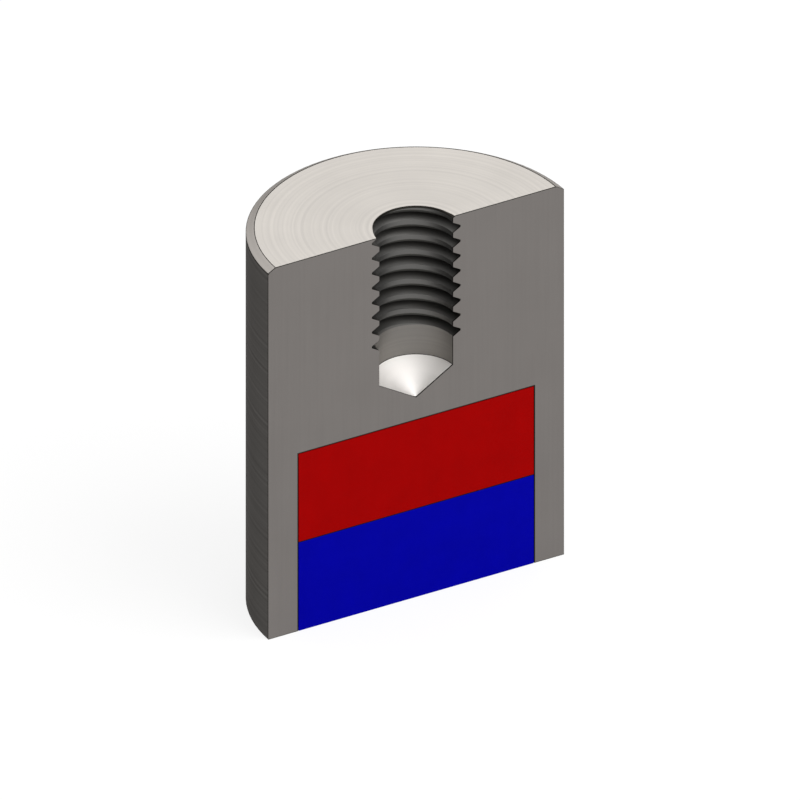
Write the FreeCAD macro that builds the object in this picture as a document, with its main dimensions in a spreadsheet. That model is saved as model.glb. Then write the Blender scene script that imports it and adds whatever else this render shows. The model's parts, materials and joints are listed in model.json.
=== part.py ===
"""Deep pot magnet, shown as a half-section.

A steel pot is turned from bar, bored from below for a cylindrical magnet, and drilled and tapped
from above for a fixing screw. The magnet is bonded in, flush with the pot's rim. The section takes
the front half away, so the wall, the thread and the magnet's two poles lie open.

Millimetres and degrees. The origin is on the turning axis in the pole face, +Z runs up the axis to
the tapped end, and the section plane is y = 0 with the material behind it, at y > 0.
"""
import FreeCAD, Part
import os
import Sketcher

# Name, value and meaning of every driving size.
SIZES = (
    ("housing_diameter", 20.0, "Outside diameter of the turned pot"),
    ("housing_height", 25.0, "Height from the pole face to the tapped face"),
    ("chamfer_width", 0.5, "Radial width of the chamfer round the tapped face"),
    ("chamfer_angle", 30.0, "Slope of that chamfer below the tapped face"),
    ("wall_thickness", 2.0, "Steel round the magnet"),
    ("pocket_depth", 12.0, "Depth of the magnet's bore from the pole face"),
    ("floor_thickness", 3.0, "Steel between the magnet's bore and the shoulder of the tapped hole"),
    ("bond_gap", 0.05, "Adhesive line between the magnet and the pot"),
    ("thread_diameter", 6.0, "Nominal diameter of the tapped thread"),
    ("thread_pitch", 1.0, "Pitch of the thread"),
    ("flank_angle", 60.0, "Angle between the two flanks of the thread"),
    ("thread_runout", 2.0, "Plain length of the drilled hole below the thread"),
    ("drill_point_angle", 118.0, "Included angle of the cone that the drill leaves"),
    ("kept_angle", 180.0, "Turn of the part that the section leaves; 360 is the whole magnet"),
)

# Sizes that follow from the driving ones.
POCKET_DIAMETER = "(Sizes.housing_diameter - 2 * Sizes.wall_thickness)"
TAP_DRILL_DIAMETER = "(Sizes.thread_diameter - Sizes.thread_pitch)"
DRILL_DEPTH = "(Sizes.housing_height - Sizes.pocket_depth - Sizes.floor_thickness)"
THREAD_DEPTH = f"({DRILL_DEPTH} - Sizes.thread_runout)"

# Flat at the root of a metric thread, and how far its cutter stands proud of the bore, in pitches.
ROOT_FLAT = 0.125
CUTTER_MARGIN = 0.1

# Point numbers on a sketch's line and circle, and the sketch's own origin.
START, END, CENTRE = 1, 2, 3
ORIGIN = (-1, 1)


def make_sizes(doc):
    """Spreadsheet that drives the model: one alias for each size, with its meaning beside it."""
    sheet = doc.addObject("Spreadsheet::Sheet", "Sizes")
    for row, (alias, value, meaning) in enumerate(SIZES, start=1):
        sheet.set(f"A{row}", alias)
        sheet.set(f"B{row}", str(value))
        sheet.set(f"C{row}", meaning)
        sheet.setAlias(f"B{row}", alias)
    doc.recompute()


def new_body(doc, name):
    """Empty body in the part's own frame."""
    body = doc.addObject("PartDesign::Body", name)
    body.Label = name
    body.Placement = FreeCAD.Placement()
    return body


def origin_feature(body, role):
    """Origin plane or axis of the body, such as XY_Plane or Z_Axis."""
    return next(f for f in body.Origin.OriginFeatures if f.Role == role)


def new_sketch(body, name, plane, **offset):
    """Sketch on an origin plane of the body, moved along its own x, y or z by formulas."""
    sketch = body.newObject("Sketcher::SketchObject", name)
    sketch.AttachmentSupport = [(origin_feature(body, plane), "")]
    sketch.MapMode = "FlatFace"
    for axis, formula in offset.items():
        sketch.setExpression(f"AttachmentOffset.Base.{axis}", formula)
    return sketch


def dimension(sketch, name, kind, *where, formula):
    """Named dimension of a sketch, bound to the sheet."""
    value = sketch.evalExpression(formula)
    index = sketch.addConstraint(Sketcher.Constraint(kind, *where, value))
    sketch.renameConstraint(index, name)
    sketch.setExpression(f"Constraints.{name}", formula)


def closed_outline(sketch, corners):
    """Closed ring of lines through the corners; lines drawn level or upright stay so."""
    points = [FreeCAD.Vector(x, y, 0) for x, y in corners]
    ends = list(zip(points, points[1:] + points[:1]))
    lines = [sketch.addGeometry(Part.LineSegment(start, end)) for start, end in ends]
    for line, following in zip(lines, lines[1:] + lines[:1]):
        sketch.addConstraint(Sketcher.Constraint("Coincident", line, END, following, START))
    for line, (start, end) in zip(lines, ends):
        if start.y == end.y:
            sketch.addConstraint(Sketcher.Constraint("Horizontal", line))
        if start.x == end.x:
            sketch.addConstraint(Sketcher.Constraint("Vertical", line))
    return lines


def circle_on_axis(body, name, diameter, **offset):
    """Sketch across the axis that holds one circle of the diameter's formula."""
    sketch = new_sketch(body, name, "XY_Plane", **offset)
    radius = sketch.evalExpression(diameter) / 2
    circle = sketch.addGeometry(Part.Circle(FreeCAD.Vector(), FreeCAD.Vector(0, 0, 1), radius))
    sketch.addConstraint(Sketcher.Constraint("Coincident", circle, CENTRE, *ORIGIN))
    dimension(sketch, "diameter", "Diameter", circle, formula=diameter)
    return sketch


def turn(body, name, sketch):
    """Solid turned about the axis, centred on +Y, as far round as the section leaves it."""
    turned = body.newObject("PartDesign::Revolution", name)
    turned.Profile = sketch
    turned.ReferenceAxis = (origin_feature(body, "Z_Axis"), [""])
    turned.Midplane = True
    turned.setExpression("Angle", "Sizes.kept_angle")


def turn_blank(body):
    """Outside of the pot, with the chamfer round its tapped face."""
    sketch = new_sketch(body, "turned_outline", "YZ_Plane")
    radius = sketch.evalExpression("Sizes.housing_diameter / 2")
    height = sketch.evalExpression("Sizes.housing_height")
    width = sketch.evalExpression("Sizes.chamfer_width")
    pole_face, _, chamfer, _, axis = closed_outline(
        sketch,
        [(0, 0), (radius, 0), (radius, height - width), (radius - width, height), (0, height)],
    )
    sketch.addConstraint(Sketcher.Constraint("Coincident", pole_face, START, *ORIGIN))
    dimension(sketch, "radius", "DistanceX", pole_face, START, pole_face, END,
              formula="Sizes.housing_diameter / 2")
    dimension(sketch, "height", "DistanceY", axis, END, axis, START,
              formula="Sizes.housing_height")
    dimension(sketch, "chamfer_width", "DistanceX", chamfer, END, chamfer, START,
              formula="Sizes.chamfer_width")
    dimension(sketch, "chamfer_drop", "DistanceY", chamfer, START, chamfer, END,
              formula="Sizes.chamfer_width * tan(Sizes.chamfer_angle * 1deg)")
    turn(body, "turned_blank", sketch)


def bore_magnet_pocket(body):
    """Flat-bottomed bore in the pole end."""
    pocket = body.newObject("PartDesign::Pocket", "magnet_pocket")
    pocket.Profile = circle_on_axis(body, "pocket_circle", POCKET_DIAMETER)
    pocket.Reversed = True
    pocket.setExpression("Length", "Sizes.pocket_depth")


def drill_hole(doc, body):
    """Blind hole in the tapped end, with the cone of the drill's point at its bottom."""
    circle = circle_on_axis(body, "drill_circle", TAP_DRILL_DIAMETER, z="Sizes.housing_height")
    doc.recompute()
    hole = body.newObject("PartDesign::Hole", "tap_hole")
    hole.Profile = circle
    hole.DepthType = "Dimension"
    hole.DrillPoint = "Angled"
    hole.setExpression("Diameter", TAP_DRILL_DIAMETER)
    hole.setExpression("Depth", DRILL_DEPTH)
    hole.setExpression("DrillPointAngle", "Sizes.drill_point_angle")


def cut_thread(body):
    """Right-hand metric thread, cut up a helix from its full depth and out through the face.

    The groove's section has the flat root and the straight flanks of the cutter. It starts on the
    side that the section takes away, so the kept half shows only whole turns.
    """
    start = f"Sizes.housing_height - {THREAD_DEPTH}"
    mouth_radius = f"{TAP_DRILL_DIAMETER} / 2 - {CUTTER_MARGIN} * Sizes.thread_pitch"
    sketch = new_sketch(body, "thread_groove", "YZ_Plane", y=start)
    root = sketch.evalExpression("Sizes.thread_diameter / 2")
    mouth = sketch.evalExpression(mouth_radius)
    flat = sketch.evalExpression(f"{ROOT_FLAT} * Sizes.thread_pitch")
    groove_root, upper_flank, groove_mouth, lower_flank = closed_outline(
        sketch,
        [(-root, -flat / 2), (-root, flat / 2), (-mouth, flat), (-mouth, -flat)],
    )
    sketch.addConstraint(Sketcher.Constraint("Equal", upper_flank, lower_flank))
    dimension(sketch, "root_radius", "DistanceX", groove_root, START, *ORIGIN,
              formula="Sizes.thread_diameter / 2")
    dimension(sketch, "mouth_radius", "DistanceX", groove_mouth, START, *ORIGIN,
              formula=mouth_radius)
    dimension(sketch, "root_flat", "DistanceY", groove_root, START, groove_root, END,
              formula=f"{ROOT_FLAT} * Sizes.thread_pitch")
    dimension(sketch, "flat_below_start", "DistanceY", groove_root, START, *ORIGIN,
              formula=f"{ROOT_FLAT} * Sizes.thread_pitch / 2")
    dimension(sketch, "flank_slope", "Angle", upper_flank,
              formula="Sizes.flank_angle / 2 * 1deg")

    groove = body.newObject("PartDesign::SubtractiveHelix", "thread")
    groove.Profile = sketch
    groove.ReferenceAxis = (origin_feature(body, "Z_Axis"), [""])
    groove.Mode = "pitch-height-angle"
    groove.setExpression("Pitch", "Sizes.thread_pitch")
    groove.setExpression("Height", f"{THREAD_DEPTH} + Sizes.thread_pitch")


def make_housing(doc):
    """Steel pot: turned, bored for the magnet, drilled and tapped."""
    body = new_body(doc, "housing")
    turn_blank(body)
    bore_magnet_pocket(body)
    drill_hole(doc, body)
    cut_thread(body)
    return body


def make_magnet(doc):
    """Magnet cylinder: one piece with a pole at each end, flush with the rim of the pot."""
    body = new_body(doc, "magnet")
    sketch = new_sketch(body, "magnet_outline", "YZ_Plane")
    radius_formula = f"{POCKET_DIAMETER} / 2 - Sizes.bond_gap"
    length_formula = "Sizes.pocket_depth - Sizes.bond_gap"
    radius = sketch.evalExpression(radius_formula)
    length = sketch.evalExpression(length_formula)
    pole_face, _, _, axis = closed_outline(
        sketch, [(0, 0), (radius, 0), (radius, length), (0, length)]
    )
    sketch.addConstraint(Sketcher.Constraint("Coincident", pole_face, START, *ORIGIN))
    dimension(sketch, "radius", "DistanceX", pole_face, START, pole_face, END,
              formula=radius_formula)
    dimension(sketch, "length", "DistanceY", axis, END, axis, START,
              formula=length_formula)
    turn(body, "magnet_cylinder", sketch)
    return body


def check_and_write(doc, bodies):
    """Stop on any failed feature; otherwise write each sub-part to its own STEP file."""
    for thing in doc.Objects:
        if {"Invalid", "Error"} & set(thing.State):
            raise RuntimeError(f"{thing.Label} failed: {thing.State}")
    for body in bodies:
        if body.Shape.isNull() or not body.Shape.isValid():
            raise RuntimeError(f"{body.Label} has no valid shape")
    os.makedirs("parts", exist_ok=True)
    for body in bodies:
        body.Shape.exportStep(f"parts/{body.Label}.step")
        print(f"{body.Label}: {len(body.Shape.Solids)} solid, {body.Shape.Volume:.3f} mm3")


def main():
    doc = FreeCAD.newDocument("pot_magnet")
    make_sizes(doc)
    bodies = [make_housing(doc), make_magnet(doc)]
    doc.recompute()
    check_and_write(doc, bodies)


main()
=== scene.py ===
"""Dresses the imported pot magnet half-section: its steel, its pole enamels and the studio it stands in.

Lengths in the materials are in millimetres, as on a drawing. All the others are in metres, as Blender's
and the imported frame's are.
"""

import json
import math

import bpy
from mathutils import Euler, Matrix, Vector


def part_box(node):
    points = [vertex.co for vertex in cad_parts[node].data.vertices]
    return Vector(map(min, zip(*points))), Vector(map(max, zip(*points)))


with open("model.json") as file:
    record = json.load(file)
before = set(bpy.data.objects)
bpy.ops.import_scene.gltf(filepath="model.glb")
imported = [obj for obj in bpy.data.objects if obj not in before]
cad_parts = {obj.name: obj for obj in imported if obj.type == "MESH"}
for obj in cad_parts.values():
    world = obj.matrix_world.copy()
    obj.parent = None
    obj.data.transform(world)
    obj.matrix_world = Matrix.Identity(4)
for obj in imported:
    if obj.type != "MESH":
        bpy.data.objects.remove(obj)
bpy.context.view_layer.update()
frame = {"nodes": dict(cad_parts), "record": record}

bl_info = {
    "name": "Pot Magnet Half-Section",
    "version": (1, 0, 0),
    "blender": (4, 5, 0),
    "location": "3D View > Sidebar > Pot Magnet",
    "description": "Steel finishes, pole enamels and a studio for a pot magnet cut along its axis",
    "category": "Object",
}

MM = 0.001

# Turned and drilled sizes of the pot, in millimetres. Those that aren't read from the frame are the
# ones that the part was made to.
POT_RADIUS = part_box("housing")[1].x / MM
POT_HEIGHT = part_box("housing")[1].z / MM
CHAMFER_WIDTH = 0.5
CHAMFER_ANGLE = math.radians(30)
CHAMFER_START = POT_HEIGHT - CHAMFER_WIDTH * math.tan(CHAMFER_ANGLE)
BOND_GAP = 0.05
POCKET_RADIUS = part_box("magnet")[1].x / MM + BOND_GAP
POCKET_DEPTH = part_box("magnet")[1].z / MM + BOND_GAP
POLES_MEET = POCKET_DEPTH / 2
SCREW_THREAD = next(m["dims"] for m in frame["record"]["mounts"] if m["name"] == "screw_thread")
CREST_RADIUS = SCREW_THREAD["r_mm"]
THREAD_DEPTH = 0.5
ROOT_RADIUS = CREST_RADIUS + THREAD_DEPTH
THREAD_END = POT_HEIGHT - SCREW_THREAD["length_mm"]
DRILL_DEPTH = 10.0
DRILL_END = POT_HEIGHT - DRILL_DEPTH
HALF_POINT_ANGLE = math.radians(118 / 2)

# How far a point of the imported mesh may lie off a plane, and how far its facets cut inside a circle.
PLANE_SLACK = 0.01
ROUND_SLACK = 0.03

# Sizes of the finishes' patterns, in millimetres: across, along or deep.
SCRATCH_LENGTH = 8.0
STEEL_PATCH = 4.0
MARK_DEPTH = 0.004
SPRAY_CLOUD = 1.7
PEEL_DIMPLE = 0.6
PEEL_DEPTH = 0.02

# Tool marks are 0 to 1 high. One of middle height leaves its surface's tone and roughness as they are,
# and the highest adds this much to the roughness, as the lowest takes it away.
MIDDLE_MARK = 0.5
MARK_ROUGHNESS = 0.08

# The cone that the drill leaves: the share of its rings that is rubbed off, and the painted shade that
# darkens it towards the tip: the radius within which it darkens, in millimetres, and the tone that is left at
# its tip.
POINT_SMOOTHNESS = 0.7
TIP_SHADE_RADIUS = 2.0
TIP_TONE = 0.8

# Least and most tone of the steel's patches and of the enamel's clouds, and roughness of its peel.
PATCH_TONE = (0.94, 1.06)
CLOUD_TONE = (0.88, 1.12)
PEEL_ROUGHNESS = (0.4, 0.5)

# Level direction towards the back right of the pot, where the painted shade round its rim is widest, and the
# shares of the edge shade's width that the rim's line has at the front left and there.
BACK_RIGHT = (math.cos(math.radians(60)), math.sin(math.radians(60)), 0)
RIM_SHARE = (0.65, 1.6)

# The picture's square frame in its own pixels: its side, the point where the axis meets the pole
# face, and how many of them make a millimetre in its parallel view.
PICTURE_SIDE = 800
POLE_FACE_PIXEL = (416.25, 597.0)
PIXELS_PER_MM = 17.065

# The studio round the magnet, in metres. The sheet lies a hair below the pole face, out of its plane,
# and the camera shows what is further from it than its clip start.
SHEET_SIDE = 2.0
SHEET_DROP = 0.02 * MM
CAMERA_DISTANCE = 0.5
CLIP_START = 0.01
SOFTBOX_DISTANCE = 0.3

# The sheet's paper, and the white that it has in a picture whatever the light: how much of what is
# seen is that white, and how bright it is, a little over 1 to make up for the paper's share.
PAPER_COLOUR = (0.9, 0.9, 0.9, 1)
WHITE_SHARE = 0.75
WHITE_STRENGTH = 1.09


def linear(code):
    """Linear colour of an sRGB hex code, as Blender's colour sockets and properties take it."""
    parts = [int(code[k : k + 2], 16) / 255 for k in (1, 3, 5)]
    return [p / 12.92 if p <= 0.04045 else ((p + 0.055) / 1.055) ** 2.4 for p in parts]


def add_node(tree, kind, inputs=None, **settings):
    """Node of a kind with its settings, each of the inputs given set to its value or linked to its socket."""
    # An input has its name as its key, or its number where names repeat. A Mix node's factor is 0, its
    # numbers are 2 and 3, its vectors 4 and 5, and its colours 6 and 7.
    node = tree.nodes.new(kind)
    for name, value in settings.items():
        setattr(node, name, value)
    for key, value in (inputs or {}).items():
        if isinstance(value, bpy.types.NodeSocket):
            tree.links.new(value, node.inputs[key])
        else:
            node.inputs[key].default_value = value
    return node


def colour_property(name, description, code):
    """Colour that a user would change, with its default as an sRGB hex code."""
    return bpy.props.FloatVectorProperty(
        name=name, description=description, subtype="COLOR", min=0.0, max=1.0, default=linear(code)
    )


def length_property(name, description, millimetres):
    """Small length that a user would change, with its default in millimetres."""
    return bpy.props.FloatProperty(
        name=name,
        description=description,
        subtype="DISTANCE",
        unit="LENGTH",
        precision=5,
        min=0.001 * MM,
        default=millimetres * MM,
    )


def light_property(name, description, white):
    """Brightness of a light that a user would change, with its default, where 1 is white."""
    return bpy.props.FloatProperty(name=name, description=description, min=0.0, default=white)


class PotMagnetSteel(bpy.types.PropertyGroup):
    """Finishes of the steel pot, with light and shade painted into their colours"""

    # Painted light and shade: each surface below has the one steel's colour as light from above and the front
    # falls on it, brightest on the faced end, less on the chamfer, darker on the section and in the hole, and
    # darkest on the wall.
    faced_lit_colour: colour_property("Faced End", "Bright steel of the tapped end", "#D2CEC9")
    chamfer_lit_colour: colour_property("Chamfer", "Steel of the chamfer round the tapped end", "#B4AFAA")
    section_shade_colour: colour_property("Section Face", "Ground steel of the section face", "#797572")
    side_shade_colour: colour_property("Side", "Turned steel of the outer wall", "#575553")
    bore_shade_colour: colour_property("Drilled Wall", "Steel of the drilled wall below the thread", "#817E7A")
    # Painted highlight: the drill's cone is near white for the shine that it has.
    point_highlight_colour: colour_property("Drill Point", "Bright steel of the drill's cone", "#FFFCF9")
    # Painted shade: the thread is darker than the drilled wall, and darkest in its roots, which are also
    # oily.
    crest_shade_colour: colour_property("Thread Crest", "Steel at the crests of the thread", "#676664")
    root_shade_and_oil_colour: colour_property("Thread Root", "Oiled steel in the roots of the thread", "#4B4A47")
    # Painted shade: a thin dark line along each edge, and round the magnet's glue joint.
    edge_shade_colour: colour_property("Edge Grime", "Line of grime that an edge holds", "#34322F")
    edge_shade_width: length_property("Edge Grime Width", "Width of the line of grime along an edge", 0.05)
    turning_feed: length_property("Turning Feed", "Distance between two rings of the lathe tool", 0.2)
    scratch_width: length_property("Scratch Width", "Distance between two scratches of the grinding", 0.17)


class PotMagnetEnamel(bpy.types.PropertyGroup):
    """Enamel of the magnet's two poles"""

    inner_colour: colour_property("Inner Pole", "Enamel of the pole inside the pot", "#9B0000")
    face_colour: colour_property("Face Pole", "Enamel of the pole at the pole face", "#00009D")
    seam_colour: colour_property("Seam", "Shade where the two enamels meet", "#120E0E")
    seam_width: length_property("Seam Width", "Width of the seam between the two enamels", 0.07)


class PotMagnetStudio(bpy.types.PropertyGroup):
    """Camera and light"""

    azimuth: bpy.props.FloatProperty(
        name="Azimuth",
        description="Camera's turn round the axis from straight in front of the section face",
        subtype="ANGLE",
        default=math.radians(-30),
    )
    elevation: bpy.props.FloatProperty(
        name="Elevation",
        description="Camera's angle above the floor",
        subtype="ANGLE",
        default=math.radians(30),
    )
    key_light: light_property("Key Light", "Brightness of the softbox in front, where 1 is white", 2.4)
    rear_light: light_property("Rear Lights", "Brightness of each softbox behind, where 1 is white", 0.8)
    room_light: light_property("Room Light", "Brightness of the pale room as a light, where 1 is white", 0.54)


def in_millimetres(tree):
    """Object coordinates in millimetres: place, distance from the axis, depth behind the cut, and height."""
    place = add_node(tree, "ShaderNodeTexCoord").outputs["Object"]
    place = add_node(tree, "ShaderNodeVectorMath", {0: place, "Scale": 1 / MM}, operation="SCALE").outputs[0]
    level = add_node(tree, "ShaderNodeVectorMath", {0: place, 1: (1, 1, 0)}, operation="MULTIPLY").outputs[0]
    radius = add_node(tree, "ShaderNodeVectorMath", {0: level}, operation="LENGTH").outputs["Value"]
    parts = add_node(tree, "ShaderNodeSeparateXYZ", {0: place}).outputs
    return place, radius, parts["Y"], parts["Z"]


def pot_surfaces(tree, radius, depth, height):
    """Each surface of the pot by its name, as a socket that is 1 on it and 0 elsewhere."""
    surfaces = {}
    for name, value, operation, limit in (
        ("cut", depth, "LESS_THAN", PLANE_SLACK),
        ("off_cut", depth, "GREATER_THAN", PLANE_SLACK),
        ("faced", height, "GREATER_THAN", POT_HEIGHT - PLANE_SLACK),
        ("below_face", height, "LESS_THAN", POT_HEIGHT - PLANE_SLACK),
        ("side", radius, "GREATER_THAN", POT_RADIUS - ROUND_SLACK),
        ("near_axis", radius, "LESS_THAN", ROOT_RADIUS + PLANE_SLACK),
        ("above_pocket", height, "GREATER_THAN", POCKET_DEPTH + PLANE_SLACK),
        ("grooved", radius, "GREATER_THAN", CREST_RADIUS + PLANE_SLACK),
        ("tapped", height, "GREATER_THAN", THREAD_END),
        ("conical", height, "LESS_THAN", DRILL_END),
    ):
        surfaces[name] = add_node(
            tree, "ShaderNodeMath", {0: value, 1: limit}, operation=operation
        ).outputs[0]
    for name, first, operation, second in (
        ("round_axis", "near_axis", "MULTIPLY", "above_pocket"),
        ("uncut_round_axis", "round_axis", "MULTIPLY", "off_cut"),
        ("hole", "uncut_round_axis", "MULTIPLY", "below_face"),
        ("threaded", "tapped", "MAXIMUM", "grooved"),
        ("thread", "hole", "MULTIPLY", "threaded"),
        ("point", "hole", "MULTIPLY", "conical"),
        ("wall", "side", "MAXIMUM", "hole"),
    ):
        surfaces[name] = add_node(
            tree, "ShaderNodeMath", {0: surfaces[first], 1: surfaces[second]}, operation=operation
        ).outputs[0]
    return surfaces


def edge_shade_lines(tree, surfaces, place, radius, depth, height, width):
    """Lines of painted shade along the pot's edges, each on one side of its edge: 1 on them and 0 elsewhere.
    """
    # How far a point is from each edge: by depth or height from a flat one, and from a round one
    # in the plane of the axis. The top edge of the hole is a flat one for the line on its wall, which
    # the thread cuts into (mouth), and a round one for the line on the faced end (lip).
    gaps = {"cut_edge": depth, "pole_face": height}
    gaps["mouth"] = add_node(
        tree, "ShaderNodeMath", {0: POT_HEIGHT, 1: height}, operation="SUBTRACT"
    ).outputs[0]
    profile = add_node(tree, "ShaderNodeCombineXYZ", {"X": radius, "Z": height}).outputs[0]
    for name, corner in (
        ("rim", (POT_RADIUS - CHAMFER_WIDTH, 0, POT_HEIGHT)),
        ("lip", (CREST_RADIUS, 0, POT_HEIGHT)),
        ("shoulder", (POT_RADIUS, 0, CHAMFER_START)),
        ("foot", (POT_RADIUS, 0, 0)),
        ("drill_shoulder", (CREST_RADIUS, 0, DRILL_END)),
    ):
        gaps[name] = add_node(
            tree, "ShaderNodeVectorMath", {0: profile, 1: corner}, operation="DISTANCE"
        ).outputs["Value"]
    beside = add_node(tree, "ShaderNodeMath", {0: radius, 1: POCKET_RADIUS}, operation="SUBTRACT").outputs[0]
    above = add_node(tree, "ShaderNodeMath", {0: height, 1: POCKET_DEPTH}, operation="SUBTRACT").outputs[0]
    gaps["joint"] = add_node(tree, "ShaderNodeMath", {0: beside, 1: above}, operation="MAXIMUM").outputs[0]

    # The painted shade round the rim is thin at the front left and widens towards the back right.
    backward = add_node(
        tree, "ShaderNodeVectorMath", {0: place, 1: BACK_RIGHT}, operation="DOT_PRODUCT"
    ).outputs["Value"]
    rim_share = add_node(
        tree,
        "ShaderNodeMapRange",
        {"Value": backward, "From Max": POT_RADIUS, "To Min": RIM_SHARE[0], "To Max": RIM_SHARE[1]},
    ).outputs[0]

    # Each edge with the surface that its line lies on and the line's share of the shade's width.
    edge_shade = None
    for gap, surface, share in (
        ("cut_edge", "off_cut", 1.8),
        ("rim", "faced", rim_share),
        ("shoulder", "side", 0.8),
        ("foot", "off_cut", 0.8),
        ("mouth", "hole", 2.4),
        ("lip", "faced", 1.5),
        ("drill_shoulder", "hole", 0.5),
        ("pole_face", "cut", 0.6),
        ("joint", "cut", 0.9),
    ):
        reach = add_node(tree, "ShaderNodeMath", {0: share, 1: width / MM}, operation="MULTIPLY").outputs[0]
        line = add_node(tree, "ShaderNodeMath", {0: gaps[gap], 1: reach}, operation="LESS_THAN").outputs[0]
        line = add_node(
            tree, "ShaderNodeMath", {0: line, 1: surfaces[surface]}, operation="MULTIPLY"
        ).outputs[0]
        if edge_shade is None:
            edge_shade = line
        else:
            edge_shade = add_node(tree, "ShaderNodeMath", {0: edge_shade, 1: line}, operation="MAXIMUM").outputs[0]
    return edge_shade


def tool_marks(tree, surfaces, place, radius, height, finish):
    """Height of the marks that the tools leave, from 0 to 1."""
    # A lathe tool or drill leaves a ring for each feed: by radius on an end face, by height on a wall.
    along = add_node(tree, "ShaderNodeMix", {0: surfaces["wall"], 2: radius, 3: height}).outputs[0]
    turns = add_node(
        tree, "ShaderNodeMath", {0: along, 1: finish.turning_feed / MM}, operation="DIVIDE"
    ).outputs[0]
    rings = add_node(
        tree, "ShaderNodeTexNoise", {"W": turns, "Scale": 1.0, "Detail": 2.0}, noise_dimensions="1D"
    ).outputs[0]
    # The grinding wheel leaves straight scratches up the section face. Real ones are some 0.02 mm
    # apart, too fine to show, so they are drawn coarser.
    scratch_scale = (MM / finish.scratch_width, 0.0, 1 / SCRATCH_LENGTH)
    stretched = add_node(
        tree, "ShaderNodeVectorMath", {0: place, 1: scratch_scale}, operation="MULTIPLY"
    ).outputs[0]
    scratches = add_node(
        tree, "ShaderNodeTexNoise", {"Vector": stretched, "Scale": 1.0, "Detail": 3.0}
    ).outputs[0]
    marks = add_node(tree, "ShaderNodeMix", {0: surfaces["cut"], 2: rings, 3: scratches}).outputs[0]
    # The drill rubs its own cone smooth, so the rings are faint there.
    smooth = add_node(
        tree, "ShaderNodeMath", {0: surfaces["point"], 1: POINT_SMOOTHNESS}, operation="MULTIPLY"
    ).outputs[0]
    return add_node(tree, "ShaderNodeMix", {0: smooth, 2: marks, 3: MIDDLE_MARK}).outputs[0]


def drill_point_normal(tree, surfaces, place):
    """The surface's own normal, but the true cone's on the drill point, whose few facets shade unevenly."""
    inward = add_node(
        tree, "ShaderNodeVectorMath", {0: place, 1: (-1, -1, 0)}, operation="MULTIPLY"
    ).outputs[0]
    inward = add_node(tree, "ShaderNodeVectorMath", {0: inward}, operation="NORMALIZE").outputs[0]
    inward = add_node(
        tree, "ShaderNodeVectorMath", {0: inward, "Scale": math.cos(HALF_POINT_ANGLE)}, operation="SCALE"
    ).outputs[0]
    cone = add_node(
        tree, "ShaderNodeVectorMath", {0: inward, 1: (0, 0, math.sin(HALF_POINT_ANGLE))}, operation="ADD"
    ).outputs[0]
    own = add_node(tree, "ShaderNodeNewGeometry").outputs["Normal"]
    return add_node(
        tree, "ShaderNodeMix", {0: surfaces["point"], 4: own, 5: cone}, data_type="VECTOR"
    ).outputs[1]


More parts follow.
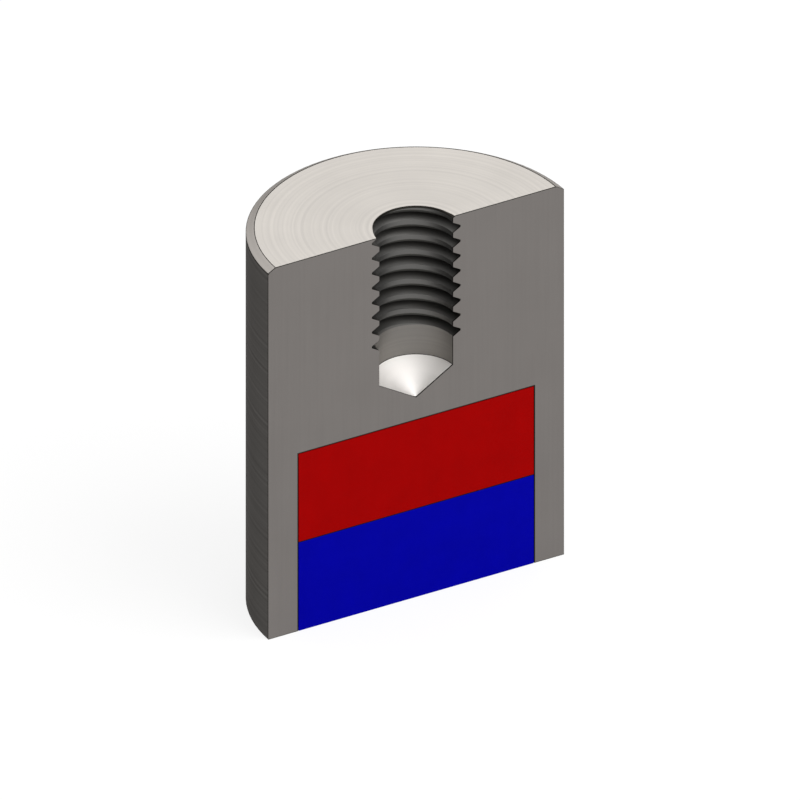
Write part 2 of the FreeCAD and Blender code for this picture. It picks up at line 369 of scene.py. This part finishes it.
def steel_material(finish):
    """Mild steel bar, turned, drilled and tapped, then cut through and ground on the section face."""
    # It looks bare and dry, and each surface shows how it was made: fine rings on the faced end and the wall,
    # upright scratches on the section, and an oily thread. Light and shade are painted into its colours: a
    # bright faced end, a darker wall, an even grey section, painted shade down the thread, a painted
    # highlight on the drill's cone, darker towards its tip, and painted shade in thin dark lines along the
    # edges.
    material = bpy.data.materials.new("turned_mild_steel")
    material.use_nodes = True
    tree = material.node_tree
    shader = tree.nodes["Principled BSDF"]
    place, radius, depth, height = in_millimetres(tree)
    surfaces = pot_surfaces(tree, radius, depth, height)

    # Painted shade in the thread, which is also oily there: its colour darkens from the crests down to the
    # roots.
    shade_and_oil = add_node(
        tree, "ShaderNodeMapRange", {"Value": radius, "From Min": CREST_RADIUS, "From Max": ROOT_RADIUS}
    ).outputs[0]
    thread_shade_and_oil = add_node(
        tree,
        "ShaderNodeMix",
        {0: shade_and_oil, 6: [*finish.crest_shade_colour, 1], 7: [*finish.root_shade_and_oil_colour, 1]},
        data_type="RGBA",
    ).outputs[2]

    # Painted shade: the cone's colour darkens towards the tip, which takes more light than its rim.
    tip_shade = add_node(
        tree, "ShaderNodeMapRange", {"Value": radius, "From Max": TIP_SHADE_RADIUS, "To Min": TIP_TONE}
    ).outputs[0]
    drilled = add_node(
        tree, "ShaderNodeHueSaturation", {"Color": [*finish.point_highlight_colour, 1], "Value": tip_shade}
    ).outputs[0]

    # Each surface has its colour, its roughness and how much the tool marks vary its tone. The colours are
    # painted light and shade: the one steel as light falls on each surface. The chamfer's come first, and
    # each of the others lies over those before it.
    colour = [*finish.chamfer_lit_colour, 1]
    rough = 0.44
    contrast = 0.16
    for surface, tint, roughness, variation in (
        ("side", [*finish.side_shade_colour, 1], 0.6, 0.6),
        ("hole", [*finish.bore_shade_colour, 1], 0.55, 0.3),
        ("thread", thread_shade_and_oil, 0.45, 0.16),
        ("point", drilled, 0.65, 0.1),
        ("faced", [*finish.faced_lit_colour, 1], 0.8, 0.22),
        ("cut", [*finish.section_shade_colour, 1], 0.42, 0.16),
    ):
        where = surfaces[surface]
        colour = add_node(tree, "ShaderNodeMix", {0: where, 6: colour, 7: tint}, data_type="RGBA").outputs[2]
        rough = add_node(tree, "ShaderNodeMix", {0: where, 2: rough, 3: roughness}).outputs[0]
        contrast = add_node(tree, "ShaderNodeMix", {0: where, 2: contrast, 3: variation}).outputs[0]

    # Tool marks and a faint patchiness vary the tone, and the marks the gloss too.
    marks = tool_marks(tree, surfaces, place, radius, height, finish)
    centred = add_node(tree, "ShaderNodeMath", {0: marks, 1: MIDDLE_MARK}, operation="SUBTRACT").outputs[0]
    marked = add_node(
        tree, "ShaderNodeMath", {0: centred, 1: contrast, 2: 1.0}, operation="MULTIPLY_ADD"
    ).outputs[0]
    patches = add_node(
        tree, "ShaderNodeTexNoise", {"Vector": place, "Scale": 1 / STEEL_PATCH, "Detail": 3.0}
    ).outputs[0]
    patched = add_node(
        tree, "ShaderNodeMapRange", {"Value": patches, "To Min": PATCH_TONE[0], "To Max": PATCH_TONE[1]}
    ).outputs[0]
    tone = add_node(tree, "ShaderNodeMath", {0: marked, 1: patched}, operation="MULTIPLY").outputs[0]
    colour = add_node(tree, "ShaderNodeHueSaturation", {"Color": colour, "Value": tone}).outputs[0]
    dull = add_node(
        tree, "ShaderNodeMapRange", {"Value": marks, "To Min": -MARK_ROUGHNESS, "To Max": MARK_ROUGHNESS}
    ).outputs[0]
    rough = add_node(tree, "ShaderNodeMath", {0: rough, 1: dull}, operation="ADD").outputs[0]

    # Painted shade: thin dark lines along the edges.
    edge_shade = edge_shade_lines(tree, surfaces, place, radius, depth, height, finish.edge_shade_width)
    colour = add_node(
        tree, "ShaderNodeMix", {0: edge_shade, 6: colour, 7: [*finish.edge_shade_colour, 1]}, data_type="RGBA"
    ).outputs[2]
    relief = add_node(
        tree,
        "ShaderNodeBump",
        {
            "Height": marks,
            "Strength": 1.0,
            "Distance": MARK_DEPTH * MM,
            "Normal": drill_point_normal(tree, surfaces, place),
        },
    ).outputs[0]
    tree.links.new(colour, shader.inputs["Base Color"])
    tree.links.new(rough, shader.inputs["Roughness"])
    tree.links.new(relief, shader.inputs["Normal"])
    shader.inputs["Metallic"].default_value = 1.0
    # A film of oxide keeps the steel grey at a glancing angle, where a clean metal turns white.
    shader.inputs["Specular Tint"].default_value = (0.3, 0.3, 0.3, 1)
    return material


def enamel_material(finish):
    """Matt enamel, sprayed in the two colours that tell a magnet's poles apart."""
    # It looks flat and deep, hardly catches the light, and is a little cloudy, with fine orange peel.
    material = bpy.data.materials.new("sprayed_matt_enamel")
    material.use_nodes = True
    tree = material.node_tree
    shader = tree.nodes["Principled BSDF"]
    place, _, _, height = in_millimetres(tree)
    inner = add_node(tree, "ShaderNodeMath", {0: height, 1: POLES_MEET}, operation="GREATER_THAN").outputs[0]
    colour = add_node(
        tree,
        "ShaderNodeMix",
        {0: inner, 6: [*finish.face_colour, 1], 7: [*finish.inner_colour, 1]},
        data_type="RGBA",
    ).outputs[2]
    # Spray lies a little unevenly, which clouds the colour.
    clouds = add_node(
        tree, "ShaderNodeTexNoise", {"Vector": place, "Scale": 1 / SPRAY_CLOUD, "Detail": 4.0}
    ).outputs[0]
    tone = add_node(
        tree, "ShaderNodeMapRange", {"Value": clouds, "To Min": CLOUD_TONE[0], "To Max": CLOUD_TONE[1]}
    ).outputs[0]
    colour = add_node(tree, "ShaderNodeHueSaturation", {"Color": colour, "Value": tone}).outputs[0]
    seam = add_node(
        tree,
        "ShaderNodeMath",
        {0: height, 1: POLES_MEET, 2: finish.seam_width / MM / 2},
        operation="COMPARE",
    ).outputs[0]
    colour = add_node(
        tree, "ShaderNodeMix", {0: seam, 6: colour, 7: [*finish.seam_colour, 1]}, data_type="RGBA"
    ).outputs[2]
    # Orange peel is the dimpled skin that spray dries to.
    peel = add_node(
        tree, "ShaderNodeTexNoise", {"Vector": place, "Scale": 1 / PEEL_DIMPLE, "Detail": 1.0}
    ).outputs[0]
    rough = add_node(
        tree, "ShaderNodeMapRange", {"Value": peel, "To Min": PEEL_ROUGHNESS[0], "To Max": PEEL_ROUGHNESS[1]}
    ).outputs[0]
    relief = add_node(
        tree, "ShaderNodeBump", {"Height": peel, "Strength": 1.0, "Distance": PEEL_DEPTH * MM}
    ).outputs[0]
    tree.links.new(colour, shader.inputs["Base Color"])
    tree.links.new(rough, shader.inputs["Roughness"])
    tree.links.new(relief, shader.inputs["Normal"])
    # The powder that makes the enamel matt takes nearly all of its gloss, so a white room doesn't
    # wash the colours out.
    shader.inputs["Specular IOR Level"].default_value = 0.02
    return material


class POTMAGNET_OT_steel(bpy.types.Operator):
    """Give the steel pot its turned, drilled, tapped and ground finishes"""

    bl_idname = "pot_magnet.steel"
    bl_label = "Finish Steel Pot"
    bl_options = {"REGISTER", "UNDO"}

    def execute(self, context):
        frame["nodes"]["housing"].material_slots[0].material = steel_material(context.scene.pot_magnet_steel)
        return {"FINISHED"}


class POTMAGNET_OT_enamel(bpy.types.Operator):
    """Give the magnet the enamel of its two poles"""

    bl_idname = "pot_magnet.enamel"
    bl_label = "Enamel Magnet Poles"
    bl_options = {"REGISTER", "UNDO"}

    def execute(self, context):
        frame["nodes"]["magnet"].material_slots[0].material = enamel_material(context.scene.pot_magnet_enamel)
        return {"FINISHED"}


def seen_directly(tree):
    """1 for a ray from the camera or a mirroring surface, which shows the background, and 0 for light."""
    path = add_node(tree, "ShaderNodeLightPath")
    seen = path.outputs["Is Camera Ray"]
    for kind in ("Is Glossy Ray", "Is Transmission Ray"):
        seen = add_node(
            tree, "ShaderNodeMath", {0: seen, 1: path.outputs[kind]}, operation="MAXIMUM"
        ).outputs[0]
    return seen


def add_sheet():
    """Pale matt sheet that the magnet stands on."""
    bpy.ops.mesh.primitive_plane_add(size=SHEET_SIDE, location=(0, 0, -SHEET_DROP))
    sheet = bpy.context.object
    sheet.name = "studio_sheet"
    material = bpy.data.materials.new("matt_paper_sheet")
    material.use_nodes = True
    # Cycles would otherwise light the magnet with the white that only the camera should see.
    material.cycles.emission_sampling = "NONE"
    tree = material.node_tree
    tree.nodes.clear()
    paper = add_node(tree, "ShaderNodeBsdfDiffuse", {"Color": PAPER_COLOUR}).outputs[0]
    white = add_node(tree, "ShaderNodeEmission", {"Strength": WHITE_STRENGTH}).outputs[0]
    share = add_node(
        tree, "ShaderNodeMath", {0: seen_directly(tree), 1: WHITE_SHARE}, operation="MULTIPLY"
    ).outputs[0]
    mix = add_node(tree, "ShaderNodeMixShader", {0: share, 1: paper, 2: white}).outputs[0]
    add_node(tree, "ShaderNodeOutputMaterial", {"Surface": mix})
    sheet.data.materials.append(material)


def add_room(light):
    """Pale room, white where it is seen and dimmer as a light."""
    world = bpy.data.worlds.new("pale_room")
    world.use_nodes = True
    # Cycles would otherwise take the white that is seen for the light too.
    world.cycles.sampling_method = "NONE"
    bpy.context.scene.world = world
    tree = world.node_tree
    strength = add_node(
        tree, "ShaderNodeMapRange", {"Value": seen_directly(tree), "To Min": light, "To Max": 1.0}
    ).outputs[0]
    background = tree.nodes["Background"]
    background.inputs["Color"].default_value = (1, 1, 1, 1)
    tree.links.new(strength, background.inputs["Strength"])


def add_softbox(name, direction, size, light):
    """Softbox on the side of the magnet that direction gives, facing it, with its width and height."""
    aim = Vector(direction).normalized()
    bpy.ops.object.light_add(
        type="AREA",
        location=aim * SOFTBOX_DISTANCE + Vector((0, 0, POT_HEIGHT * MM / 2)),
        rotation=aim.to_track_quat("Z", "Y").to_euler(),
    )
    lamp = bpy.context.object
    lamp.name = name
    lamp.data.shape = "RECTANGLE"
    lamp.data.size, lamp.data.size_y = size
    # An area lamp of this power looks as bright as the light given, where 1 is white.
    lamp.data.energy = light * math.pi * size[0] * size[1]
    lamp.visible_camera = False


def add_camera(studio):
    """Parallel camera at the picture's angle, with the pole face's middle at its place in the picture."""
    turn = Euler((math.pi / 2 - studio.elevation, 0, studio.azimuth))
    right, up, back = turn.to_matrix().col
    pixel = MM / PIXELS_PER_MM
    middle = PICTURE_SIDE / 2
    centre = right * (middle - POLE_FACE_PIXEL[0]) * pixel + up * (POLE_FACE_PIXEL[1] - middle) * pixel
    bpy.ops.object.camera_add(location=centre + back * CAMERA_DISTANCE, rotation=turn)
    camera = bpy.context.object
    camera.name = "picture_camera"
    camera.data.type = "ORTHO"
    camera.data.ortho_scale = PICTURE_SIDE * pixel
    camera.data.clip_start = CLIP_START
    bpy.context.scene.camera = camera


class POTMAGNET_OT_studio(bpy.types.Operator):
    """Set up the sheet, the light and the camera"""

    bl_idname = "pot_magnet.studio"
    bl_label = "Set Up Studio"
    bl_options = {"REGISTER", "UNDO"}

    def execute(self, context):
        studio = context.scene.pot_magnet_studio
        add_sheet()
        add_room(studio.room_light)
        # The key light is broad, at the front and high. The two behind are narrow and low.
        add_softbox("key_softbox", (0.36, -0.55, 0.75), (0.3, 0.3), studio.key_light)
        add_softbox("rear_left_softbox", (-0.75, 0.65, 0.25), (0.12, 0.3), studio.rear_light)
        add_softbox("rear_right_softbox", (0.85, 0.47, 0.24), (0.12, 0.3), studio.rear_light)
        add_camera(studio)
        context.scene.view_settings.view_transform = "Standard"
        return {"FINISHED"}


class POTMAGNET_PT_panel(bpy.types.Panel):
    """Sizes and colours of the pot magnet, with the steps that dress it"""

    bl_idname = "POTMAGNET_PT_panel"
    bl_label = "Pot Magnet"
    bl_space_type = "VIEW_3D"
    bl_region_type = "UI"
    bl_category = "Pot Magnet"

    def draw(self, context):
        for operator, settings_name, _ in STEPS:
            box = self.layout.box()
            settings = getattr(context.scene, settings_name)
            for name in settings.bl_rna.properties.keys():
                if name not in ("rna_type", "name"):
                    box.prop(settings, name)
            box.operator(operator.bl_idname)


# Each step's operator, and the name that its settings have on the scene, with their class.
STEPS = (
    (POTMAGNET_OT_steel, "pot_magnet_steel", PotMagnetSteel),
    (POTMAGNET_OT_enamel, "pot_magnet_enamel", PotMagnetEnamel),
    (POTMAGNET_OT_studio, "pot_magnet_studio", PotMagnetStudio),
)
GROUPS = tuple(group for _, _, group in STEPS)
OPERATORS = tuple(operator for operator, _, _ in STEPS)
CLASSES = (*GROUPS, *OPERATORS, POTMAGNET_PT_panel)


def register():
    for cls in CLASSES:
        bpy.utils.register_class(cls)
    for _, settings_name, group in STEPS:
        setattr(bpy.types.Scene, settings_name, bpy.props.PointerProperty(type=group))


def unregister():
    for _, settings_name, _ in STEPS:
        delattr(bpy.types.Scene, settings_name)
    for cls in reversed(CLASSES):
        bpy.utils.unregister_class(cls)


def main():
    register()
    bpy.ops.pot_magnet.steel()
    bpy.ops.pot_magnet.enamel()
    bpy.ops.pot_magnet.studio()


if __name__ == "__main__":
    main()
